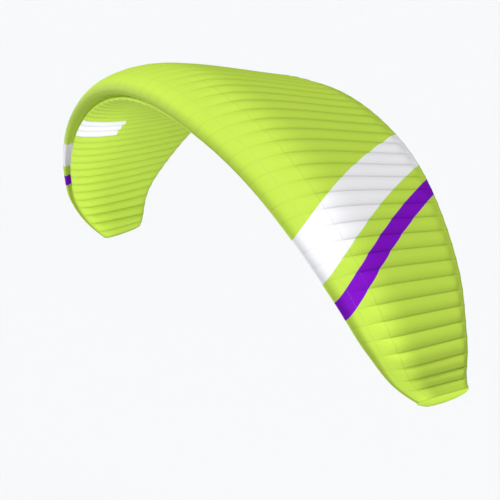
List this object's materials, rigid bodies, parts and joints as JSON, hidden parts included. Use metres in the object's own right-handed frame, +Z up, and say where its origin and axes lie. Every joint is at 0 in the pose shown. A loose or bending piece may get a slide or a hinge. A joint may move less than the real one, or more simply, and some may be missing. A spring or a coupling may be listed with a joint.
{
  "type": "paraglider wing",
  "caption": "Inflated paraglider wing: an arched, hollow ram-air canopy with billowed cells between ribs, a smooth nose with a lip under it and narrow swept-back tips. Carries a pilot on lines.",
  "frame": {"origin": "the centre rib's seam on the lower sail, at 30% of the chord, where a suspension line is sewn on", "axes": "+X across the span to the right, +Y from the nose to the trailing edge, +Z up in level flight"},
  "size_m": [8.2648, 2.9899, 3.5495],
  "materials": {
    "upper_cloth": "coated ripstop cloth, matt with a slight sheen",
    "nose_cloth": "coated ripstop cloth, matt with a slight sheen",
    "lower_cloth": "coated ripstop cloth, matt",
    "tip_cloth": "coated ripstop cloth, matt"
  },
  "bodies": {
    "root": {"upper_sail_R1": "upper_cloth", "shaping_panel_R1": "nose_cloth", "nose_panel_R1": "nose_cloth", "lower_sail_R1": "lower_cloth", "upper_sail_R2": "upper_cloth", "shaping_panel_R2": "nose_cloth", "nose_panel_R2": "nose_cloth", "lower_sail_R2": "lower_cloth", "upper_sail_R3": "upper_cloth", "shaping_panel_R3": "nose_cloth", "nose_panel_R3": "nose_cloth", "lower_sail_R3": "lower_cloth", "upper_sail_R4": "upper_cloth", "shaping_panel_R4": "nose_cloth", "nose_panel_R4": "nose_cloth", "lower_sail_R4": "lower_cloth", "upper_sail_R5": "upper_cloth", "shaping_panel_R5": "nose_cloth", "nose_panel_R5": "nose_cloth", "lower_sail_R5": "lower_cloth", "upper_sail_R6": "upper_cloth", "shaping_panel_R6": "nose_cloth", "nose_panel_R6": "nose_cloth", "lower_sail_R6": "lower_cloth", "upper_sail_R7": "upper_cloth", "shaping_panel_R7": "nose_cloth", "nose_panel_R7": "nose_cloth", "lower_sail_R7": "lower_cloth", "upper_sail_L1": "upper_cloth", "shaping_panel_L1": "nose_cloth", "nose_panel_L1": "nose_cloth", "lower_sail_L1": "lower_cloth", "upper_sail_L2": "upper_cloth", "shaping_panel_L2": "nose_cloth", "nose_panel_L2": "nose_cloth", "lower_sail_L2": "lower_cloth", "upper_sail_L3": "upper_cloth", "shaping_panel_L3": "nose_cloth", "nose_panel_L3": "nose_cloth", "lower_sail_L3": "lower_cloth", "upper_sail_L4": "upper_cloth", "shaping_panel_L4": "nose_cloth", "nose_panel_L4": "nose_cloth", "lower_sail_L4": "lower_cloth", "upper_sail_L5": "upper_cloth", "shaping_panel_L5": "nose_cloth", "nose_panel_L5": "nose_cloth", "lower_sail_L5": "lower_cloth", "upper_sail_L6": "upper_cloth", "shaping_panel_L6": "nose_cloth", "nose_panel_L6": "nose_cloth", "lower_sail_L6": "lower_cloth", "upper_sail_L7": "upper_cloth", "shaping_panel_L7": "nose_cloth", "nose_panel_L7": "nose_cloth", "lower_sail_L7": "lower_cloth", "tip_panel_R": "tip_cloth", "tip_panel_L": "tip_cloth"}
  },
  "joints": []
}
